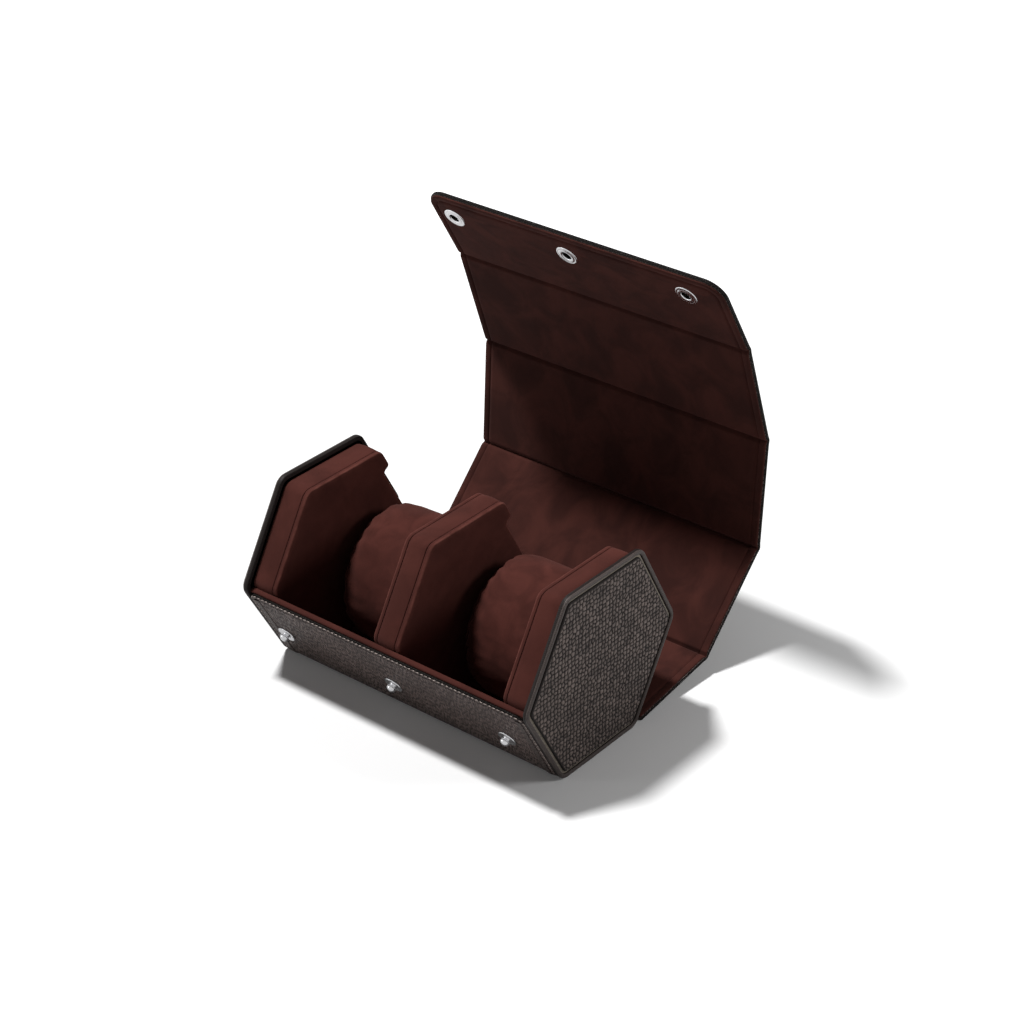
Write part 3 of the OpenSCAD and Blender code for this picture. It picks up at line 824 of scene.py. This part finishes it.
# Front bindings: the smooth leather of each end plate is carried round onto the front, and
# its skived edge is glued down over the grained wrap.
binding_width = 0.0047
binding_t = 0.00028
binding_side = 0.00205
binding_top = 0.0029
binding_leather = leather_material(
    "binding_leather", (0.06, 0.043, 0.038), (0.13, 0.1, 0.09), (0.03, 0.022, 0.019),
    0.0008, 0.00004, stretch=0.38, roughness=(0.36, 0.55), specular=0.3)
for end_name, sign in (("left", -1), ("right", 1)):
    inner_edge = wrap_half - binding_width
    outer_edge = wrap_half - binding_side
    outline = [(outer_edge, 0.0002), (outer_edge, -binding_t * 0.4),
               (outer_edge - 0.0002, -binding_t * 0.9), (outer_edge - 0.0005, -binding_t),
               (inner_edge + 0.0005, -binding_t), (inner_edge + 0.0002, -binding_t * 0.85),
               (inner_edge, -binding_t * 0.4), (inner_edge, 0.0002)]
    runs = [binding_top, *(front_run * i / 4 for i in range(1, 5)), *arc_cuts[1:8]]
    rings = [[on_wrap(sign * x, run, depth) for x, depth in outline] for run in runs]
    flats = [[(sign * x, run) for x, depth in outline] for run in runs]
    binding = add_mesh_piece("front_binding_" + end_name, loft(rings, flats), binding_leather)
    fasten(binding, "tray")

# Front and bottom liners: suede glued over the board, turned over its top edge so that it
# fills the rim behind the rolled leather.
tray_suede = suede_material("tray_suede", (0.044, 0.0112, 0.0084), (0.085, 0.0235, 0.0178))
liner_depth = 0.004
liner_gap = 0.00005
liner_lip = from_mm([(1.1, 4), (0.7, 3.9), (0.3, 3.6), (0.1, 3.1), (0.1, 2.3), (0.3, 1.8),
                     (0.7, 1.5), (1.2, 1.5), (1.2, 2.9)])


def swept_sheet(loop, half, mapping, stations):
    """Closed strip along the case: a loop of (run, depth) points, cut at stations."""
    body = bmesh.new()
    for x in (-half, half):
        ring = [body.verts.new((x, run, depth)) for run, depth in loop]
        body.faces.new(ring)
    body.verts.ensure_lookup_table()
    count = len(loop)
    for i in range(count):
        j = (i + 1) % count
        body.faces.new((body.verts[i], body.verts[j], body.verts[count + j],
                        body.verts[count + i]))
    bend_into_place(body, stations, mapping)
    return body


liner_end = front_run + bend_arc + 0.002
loop = [*liner_lip, (liner_end, 0.0029), (liner_end, liner_depth)]
body = swept_sheet(loop, wrap_half - liner_gap, on_wrap, arc_cuts)
liner = add_mesh_piece("front_liner_suede", body, tray_suede)
fasten(liner, "tray", "front_liner")

floor_low, floor_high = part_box("bottom_liner")
rings = []
for z, inset in ((floor_low.z, 0), (floor_high.z - 0.0004, 0), (floor_high.z, 0.0004)):
    x, y0, y1 = floor_high.x - inset, floor_low.y, floor_high.y - inset
    rings.append([Vector((-x, y0, z)), Vector((x, y0, z)), Vector((x, y1, z)),
                  Vector((-x, y1, z))])
bottom = add_mesh_piece("bottom_liner_suede", loft(rings), tray_suede)
fasten(bottom, "tray", "bottom_liner")

# Back wall: a board between the end plates that leans back with the hexagon, covered in
# suede on both sides, with a rounded top edge.
wall_top = side_length / 2 - rim_drop
back_up = heading(60)
back_normal = heading(330)
back_mid = Vector((mid_height * back_normal.x, mid_height + mid_height * back_normal.y))


def on_back(x, run, depth):
    p = back_mid + back_up * run - back_normal * depth
    return Vector((x, p.x, p.y))


def back_piece(name, outer, inner, foot, node):
    """Layer of the back wall between two depths, standing on a level foot."""
    def foot_run(depth):
        return (foot - back_mid.y + back_normal.y * depth) / back_up.y
    edge = 0.0006
    loop = [(foot_run(outer), outer), (wall_top - edge, outer)]
    loop += [(wall_top - edge * 0.3, outer + edge * 0.3), (wall_top, outer + edge)]
    loop += [(wall_top, inner - edge), (wall_top - edge * 0.3, inner - edge * 0.3)]
    loop += [(wall_top - edge, inner), (foot_run(inner), inner)]
    wall = add_mesh_piece(name, swept_sheet(loop, wrap_half - liner_gap, on_back, []), tray_suede)
    fasten(wall, "tray", node)


back_outer, back_seam = 0.0004, 0.002
back_piece("back_wall_suede", back_outer, back_seam, floor_low.z, "back_wall")
back_piece("back_liner_suede", back_seam, back_seam + 0.0012, floor_high.z, "back_liner")

# Pillows: loose suede pillows stuffed with foam, which a watch strap is closed round. They
# swell in the middle and have a piped seam round each end.
pillow_suede = suede_material("pillow_suede", (0.042, 0.0108, 0.008), (0.105, 0.0295, 0.0225),
                              patch=0.012)
seam_place = 0.86
piping_r = 0.0006
piping_points = 96
gathers = 22
fold_depth = 0.0006
tuck_depth = 0.0008
dent_depth = 0.0009
pillow_shrink = 0.975
stuffing_pressure = 4
stuffing_rise = 0.0012


def stuff(piece, pressure, most):
    """Swells a mesh as cloth under pressure, and caps how far a point may move."""
    before = [v.co.copy() for v in piece.data.vertices]
    cloth = piece.modifiers.new("cloth", "CLOTH")
    cloth.settings.use_pressure = True
    cloth.settings.uniform_pressure_force = pressure
    cloth.settings.effector_weights.gravity = 0
    cloth.settings.quality = 5
    cloth.settings.tension_stiffness = 12
    cloth.settings.compression_stiffness = 12
    cloth.settings.bending_stiffness = 0.4
    moments = 20
    cloth.point_cache.frame_start = 1
    cloth.point_cache.frame_end = moments
    for moment in range(1, moments + 1):
        scene.frame_set(moment)
    swollen = piece.evaluated_get(bpy.context.evaluated_depsgraph_get()).to_mesh()
    after = [v.co.copy() for v in swollen.vertices]
    piece.modifiers.remove(cloth)
    scene.frame_set(1)
    for v, old, new in zip(piece.data.vertices, before, after):
        step = new - old
        if step.length > most:
            step *= most / step.length
        v.co = old + step


def pillow_body(node):
    """Clean, even mesh in the shape of a pillow's solid."""
    mesh = frame["nodes"][node].data.copy()
    piece = add_object(node + "_body", mesh)
    remesh = piece.modifiers.new("even", "REMESH")
    remesh.mode = "VOXEL"
    remesh.voxel_size = 0.0022
    settle(piece)
    return piece


for end_name, sign in (("left", -1), ("right", 1)):
    node = "pillow_" + end_name
    low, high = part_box(node)
    middle = (low + high) / 2
    pillow = pillow_body(node)
    for v in pillow.data.vertices:
        v.co = middle + (v.co - middle) * pillow_shrink
    stuff(pillow, stuffing_pressure, stuffing_rise)
    smooth = pillow.modifiers.new("smooth", "SMOOTH")
    smooth.iterations = 6
    rounder = pillow.modifiers.new("rounder", "SUBSURF")
    rounder.levels = 1
    rounder.render_levels = 1
    final = settle(pillow)
    half = (high.x - low.x) / 2
    lengthwise = Vector((1, 0, 0))
    for v, normal in zip(final.vertices, [v.normal.copy() for v in final.vertices]):
        offset = v.co - middle
        beside_seam = abs(abs(offset.x) / half - seam_place)
        around = math.atan2(offset.z, offset.y)
        wander = 3.5 * noise.noise(v.co * 45 + lengthwise * sign * 5)
        fold = 0.5 - 0.5 * math.sin(gathers * around + wander * 3)
        pull = math.exp(-(beside_seam / 0.45) ** 2)
        tuck = math.exp(-(beside_seam / 0.045) ** 2)
        swell = 0.5 - 0.5 * noise.noise(v.co * 95 + lengthwise * 3)
        v.co -= normal * (fold_depth * fold * pull + tuck_depth * tuck + dent_depth * swell)
    skin_tree = BVHTree.FromPolygons([v.co for v in final.vertices],
                                     [p.vertices for p in final.polygons])
    for seam_name, way in (("outer", 1), ("inner", -1)):
        x = middle.x + sign * way * seam_place * half
        rope = bpy.data.curves.new("pillow_piping_%s_%s" % (end_name, seam_name), "CURVE")
        rope.dimensions = "3D"
        rope.bevel_depth = piping_r
        rope.bevel_resolution = 2
        line = rope.splines.new("POLY")
        line.points.add(piping_points - 1)
        line.use_cyclic_u = True
        for k, point in enumerate(line.points):
            a = math.tau * k / piping_points
            ray = Vector((0, math.cos(a), math.sin(a)))
            start = Vector((x, middle.y, middle.z))
            hit = skin_tree.ray_cast(start + ray * 0.05, -ray)[0]
            point.co = (*(hit + ray * piping_r * 0.4), 1)
        curve = add_object(rope.name, rope)
        mesh = finished_mesh(curve)
        bpy.data.objects.remove(curve)
        piping = add_object(rope.name, mesh)
        mesh.materials.clear()
        mesh.materials.append(pillow_suede)
        mesh.shade_smooth()
        fasten(piping, "tray")
    final.materials.clear()
    final.materials.append(pillow_suede)
    final.shade_smooth()
    fasten(pillow, "tray", node)

# Lid skin: five stiff panels in one piece of pebbled leather outside and suede inside. The
# creases between them are soft strips that turn smoothly from one panel to the next. The
# suede has a pressed line near its edge, and its edge is turned.
lid_leather = leather_material(
    "lid_leather", (0.055, 0.037, 0.033), (0.2, 0.15, 0.135), (0.018, 0.0115, 0.0105),
    0.00105, 0.00035, stretch=0.6, irregular=0.95, roughness=(0.36, 0.64), specular=0.3)
# The lining is the cushions' suede painted darker: painted shade, as the open lid's lining stands
# in shade.
lid_suede_painted_shade = suede_material("lid_suede_painted_shade", (0.02, 0.0056, 0.0044), (0.082, 0.024, 0.018),
                           patch=0.02, layout="UV", sheen=0.06)
PANELS = ["lower_back", "upper_back", "top", "upper_front", "flap"]
BODIES = ["tray", "lower_back_panel", "upper_back_panel", "top_panel", "upper_front_panel",
          "snap_flap"]
lid_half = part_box("top_leather")[1].x
flap_length = 0.042
flap_corner = 0.009
strip_reach = 0.003
bend_reach = 0.0024
creases = [Vector(j["pos_m"][1:]) for j in frame["joints"]]
travel = [j["range_deg"][1] for j in frame["joints"]]
turns = [60 * (i + 1) - sum(travel[:i + 1]) for i in range(5)]
lengths = [(b - a).length for a, b in zip(creases, creases[1:])] + [flap_length]
starts = [sum(lengths[:i]) for i in range(5)]


def on_panel(i, x, run, height):
    """Point of panel i, at a run beyond its crease and a height towards the lining."""
    along = heading(turns[i])
    p = creases[i] + along * run + Vector((-along.y, along.x)) * height
    return Vector((x, p.x, p.y))


def ease(share):
    """Smooth rise from 0 to 1, held at both ends."""
    t = min(max(share, 0), 1)
    return t * t * (3 - 2 * t)


def on_crease(i, x, run, height):
    """Point of the strip at crease i, which turns smoothly from one panel to the next."""
    before = turns[i - 1] if i else 0
    share = ease((run + bend_reach) / (2 * bend_reach))
    along = heading(before + (turns[i] - before) * share)
    p = creases[i] + along * run + Vector((-along.y, along.x)) * height
    return Vector((x, p.x, p.y))


outer, inner = -0.0014, 0.0014
skin_profile = from_mm([(8, -1.4), (1.2, -1.4), (0.5, -1.3), (0.12, -0.95), (0, -0.4), (0, 0.1),
                        (0.15, 0.5), (0.6, 0.6), (8, 0.6)])
suede_profile = from_mm([(8, 0.4), (0.7, 0.4), (0.5, 0.7), (0.6, 1.15), (1, 1.37), (1.6, 1.4),
                         (3, 1.36), (3.4, 1.1), (3.65, 0.9), (3.9, 1.1), (4.3, 1.37), (5.2, 1.4),
                         (8, 1.4)])
valley = 0.0012
valley_reach = 0.0015


def crease_dip(run, height):
    """Height of a point after the lining's valley at a crease is pressed in."""
    if height < outer + 0.0004:
        return height
    share = max(0.0, 1 - abs(run) / valley_reach) ** 1.3
    above = (height - outer) / (inner - outer)
    return height - valley * share * above


def cross_loop(profile, half):
    """Closed outline across the lid: the profile on the right edge and on the left."""
    right = [(half - inset, height, half - profile[0][0]) for inset, height in profile]
    run = 0
    loop = []
    for k, (x, height, base) in enumerate(right):
        if k:
            run += math.dist(profile[k - 1], profile[k])
        loop.append((x, height, base + run))
    return loop + [(-x, height, -flat) for x, height, flat in reversed(loop)]


def ink_edges(piece, along=None):
    """Gives the leather's cut and turned edges their darker finish."""
    piece.data.materials.append(edge_leather)
    for polygon in piece.data.polygons:
        facing = abs(polygon.normal.x)
        if along:
            facing = math.hypot(facing, polygon.normal.y * along.x + polygon.normal.z * along.y)
        if facing > 0.55:
            polygon.material_index = 1


def lid_strip(name, profile, runs, place, start, material, halves=None):
    """Length of the lid's skin: the cross outline at each run, closed at both ends."""
    rings, flats = [], []
    for k, run in enumerate(runs):
        half = halves[k] if halves else lid_half
        loop = cross_loop(profile, half)
        rings.append([place(x, run, height) for x, height, _ in loop])
        flats.append([(flat, start + run) for _, _, flat in loop])
    strip = add_mesh_piece(name, loft(rings, flats), material, 42)
    if material is lid_leather:
        ink_edges(strip)
    return strip


strip_rows = 20
strip_runs = [strip_reach * (2 * i / strip_rows - 1) for i in range(strip_rows + 1)]
LAYERS = [("leather", skin_profile, lid_leather, "grained_leather"),
          ("suede", suede_profile, lid_suede_painted_shade, "lining_suede")]
for layer, profile, material, slot in LAYERS:
    for i, panel in enumerate(PANELS[:4]):
        ends = [strip_reach, lengths[i] - strip_reach]
        piece = lid_strip(panel + "_" + layer + "_skin", profile, ends,
                          lambda x, run, h, i=i: on_panel(i, x, run, h), starts[i], material)
        fasten(piece, BODIES[i + 1],
               panel + ("_leather" if layer == "leather" else "_lining"))
    for i in range(5):
        halves = None
        if i == 0:
            narrow = wrap_half - 0.0001
            halves = [narrow + (lid_half - narrow) * ease((run + 0.0002) / 0.0014)
                      for run in strip_runs]
        piece = lid_strip(
            "crease_%d_%s" % (i + 1, layer), profile, strip_runs,
            lambda x, run, h, i=i: on_crease(i, x, run, crease_dip(run, h)),
            starts[i], material, halves)
        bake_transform(piece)


def flap_outline(inset):
    sides = [(0, lid_half), (90, flap_length), (180, lid_half), (270, 0.02)]
    return rounded_outline(sides, [flap_corner, flap_corner, 0.001, 0.001], inset, steps=14)


def punch(piece, middles, radius, along):
    """Punches round holes straight through a piece of the flap."""
    body = bmesh.new()
    across = Vector((0, -along.y, along.x))
    for middle in middles:
        place = Matrix.Translation(middle) @ across.to_track_quat("Z", "X").to_matrix().to_4x4()
        bmesh.ops.create_cone(body, cap_ends=True, segments=32, radius1=radius,
                              radius2=radius, depth=0.008, matrix=place)
    mesh = bpy.data.meshes.new("punches")
    body.to_mesh(mesh)
    body.free()
    punches = add_object("punches", mesh)
    holes = piece.modifiers.new("holes", "BOOLEAN")
    holes.operation = "DIFFERENCE"
    holes.solver = "EXACT"
    holes.object = punches
    settle(piece).set_sharp_from_angle(angle=math.radians(42))
    bpy.data.objects.remove(punches)


snap_drop = 0.029
stud_r = 0.0042
stud_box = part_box("snap_studs")
first_snap = stud_box[0].x + stud_r
snap_pitch = (stud_box[1].x - stud_box[0].x - 2 * stud_r) / 2
hole_radius = 0.0031
hole_middles = [on_panel(4, first_snap + snap_pitch * i, snap_drop, 0) for i in range(3)]
for layer, profile, material, slot in LAYERS:
    rings, flats = sheet_rings(flap_outline, profile)
    flats = [[(x, starts[4] + y) for x, y in ring] for ring in flats]
    body = loft(rings, flats)
    geometry = body.verts[:] + body.edges[:] + body.faces[:]
    bmesh.ops.bisect_plane(body, geom=geometry, plane_co=(0, strip_reach, 0),
                           plane_no=(0, 1, 0), clear_inner=True, dist=1e-7)
    rim = [e for e in body.edges if e.is_boundary]
    bmesh.ops.holes_fill(body, edges=rim, sides=0)
    bend_into_place(body, [], lambda x, run, h: on_panel(4, x, run, h))
    piece = add_mesh_piece("flap_" + layer + "_skin", body, material, 42)
    if layer == "leather":
        ink_edges(piece, heading(turns[4]))
    punch(piece, hole_middles, hole_radius, heading(turns[4]))
    fasten(piece, "snap_flap", "flap_leather" if layer == "leather" else "flap_lining")

# Press snaps: turned and nickel-plated brass. The studs on the front have a dished flange
# and a ball head, the sockets in the flap a rolled rim and a hollow with a spring, and
# domed caps close them on the outside. Three of each are set in a row.
nickel, tree, where = new_material("nickel")
scratches = noise_node(tree, where["Object"], 1800.0, 3.0)
coat(tree, Base_Color=(0.76, 0.76, 0.775, 1), Metallic=1.0,
     Roughness=ramp(tree, scratches, 0.3, 0.8, start=0.2, end=0.36),
     Normal=bump(tree, scratches, 0.15, 0.00002))

# Near-black metal inside the sockets' hollows, mottled a little.
near_black_hollow_metal, tree, where = new_material("near_black_hollow_metal")
hollow_mottle = noise_node(tree, where["Object"], 1500.0, 3.0)
coat(tree, Base_Color=mix_colours(tree, hollow_mottle, (0.018, 0.015, 0.012), (0.09, 0.078, 0.065)),
     Metallic=0.6, Roughness=0.5)

snap_row, into, outof = geometry_tree("snap_row", Count="Int", Spacing="Float",
                                      Material="Material")
line = put(snap_row, "GeometryNodeMeshLine", Count=into["Count"],
           Offset=put(snap_row, "ShaderNodeCombineXYZ", X=into["Spacing"]))
end_tree(snap_row, put(snap_row, "GeometryNodeInstanceOnPoints", Points=line,
                       Instance=into["Geometry"]), into["Material"], outof["Geometry"])


def turned(profile, steps=40):
    """Closed body of revolution about Z: a list of (radius, height) from axis to axis."""
    body = bmesh.new()
    rings = []
    for radius, height in profile:
        if radius < 1e-6:
            rings.append([body.verts.new((0, 0, height))])
        else:
            rings.append([body.verts.new((radius * math.cos(math.tau * i / steps),
                                          radius * math.sin(math.tau * i / steps), height))
                          for i in range(steps)])
    for lower, upper in zip(rings, rings[1:]):
        for i in range(steps):
            j = (i + 1) % steps
            corners = [lower[i % len(lower)], lower[j % len(lower)],
                       upper[j % len(upper)], upper[i % len(upper)]]
            body.faces.new(list(dict.fromkeys(corners)))
    bmesh.ops.recalc_face_normals(body, faces=body.faces)
    return body


def set_row(name, profile, place, body_name, node, spacing, first, hollow=0):
    """A row of three like snap parts, put in place in one mesh. A hollow of some radius is
    dark inside."""
    part = add_mesh_piece(name, turned(profile), nickel, 55)
    grow(part, snap_row, Count=3, Spacing=spacing, Material=nickel)
    part.data.set_sharp_from_angle(angle=math.radians(55))
    part.data.materials.append(near_black_hollow_metal)
    for polygon in part.data.polygons:
        x, y, z = polygon.center
        away = math.hypot((x + spacing / 2) % spacing - spacing / 2, y)
        if away < hollow and -0.0013 < z < 0.0012:
            polygon.material_index = 1
    part.data.transform(place @ Matrix.Translation((first, 0, 0)))
    fasten(part, body_name, node)


stud_run = 0.004596


def sloped(along, out, middle):
    """Place of a row on a sloping panel, with Y along the slope and Z out of it."""
    return Matrix(((1, 0, 0, 0), (0, along.x, out.x, middle.x), (0, along.y, out.y, middle.y),
                   (0, 0, 0, 1)))


stud_profile = from_mm([(0, -2.8), (1.3, -2.8), (1.3, -0.05), (3.9, -0.05), (4.15, 0.1),
                        (4.2, 0.3), (4.1, 0.52), (3.8, 0.6), (3.5, 0.54), (3, 0.34), (2.4, 0.24),
                        (1.9, 0.32), (1.5, 0.6), (1.4, 0.9), (1.6, 1.15), (1.9, 1.4), (2.08, 1.7),
                        (2.1, 2), (1.98, 2.4), (1.6, 2.9), (0.9, 3.3), (0, 3.4)])
set_row("snap_stud_row", stud_profile,
        sloped(front_down, -front_in, front_mid + front_down * stud_run), "tray", "snap_studs",
        snap_pitch, first_snap)

along = heading(turns[4])
flap_place = sloped(along, Vector((-along.y, along.x)), creases[4] + along * snap_drop)
socket_profile = from_mm([(0, -1.2), (2.6, -1.2), (2.7, -1), (2.7, 0.4), (2.5, 0.8), (2.2, 1.1),
                          (2.12, 1.4), (2.2, 1.65), (2.4, 1.82), (2.7, 1.9), (3.1, 1.92),
                          (3.5, 1.86), (3.8, 1.74), (3.98, 1.66), (4.12, 1.72), (4.4, 1.76),
                          (4.7, 1.7), (4.9, 1.58), (5, 1.44), (5, 1.36), (3.5, 1.36), (3.5, -1.4),
                          (0, -1.4)])
set_row("snap_socket_row", socket_profile, flap_place, "snap_flap", "snap_sockets", snap_pitch,
        first_snap, hollow=0.0028)
cap_profile = from_mm([(0, -1.45), (5.9, -1.45), (6.2, -1.55), (6.2, -1.7), (5.9, -1.95),
                       (5.2, -2.15), (4, -2.28), (0, -2.3)])
set_row("snap_cap_row", cap_profile, flap_place, "snap_flap", "snap_caps", snap_pitch,
        first_snap)

frame["nodes"]["snap_posts"].data.materials.clear()
frame["nodes"]["snap_posts"].data.materials.append(nickel)
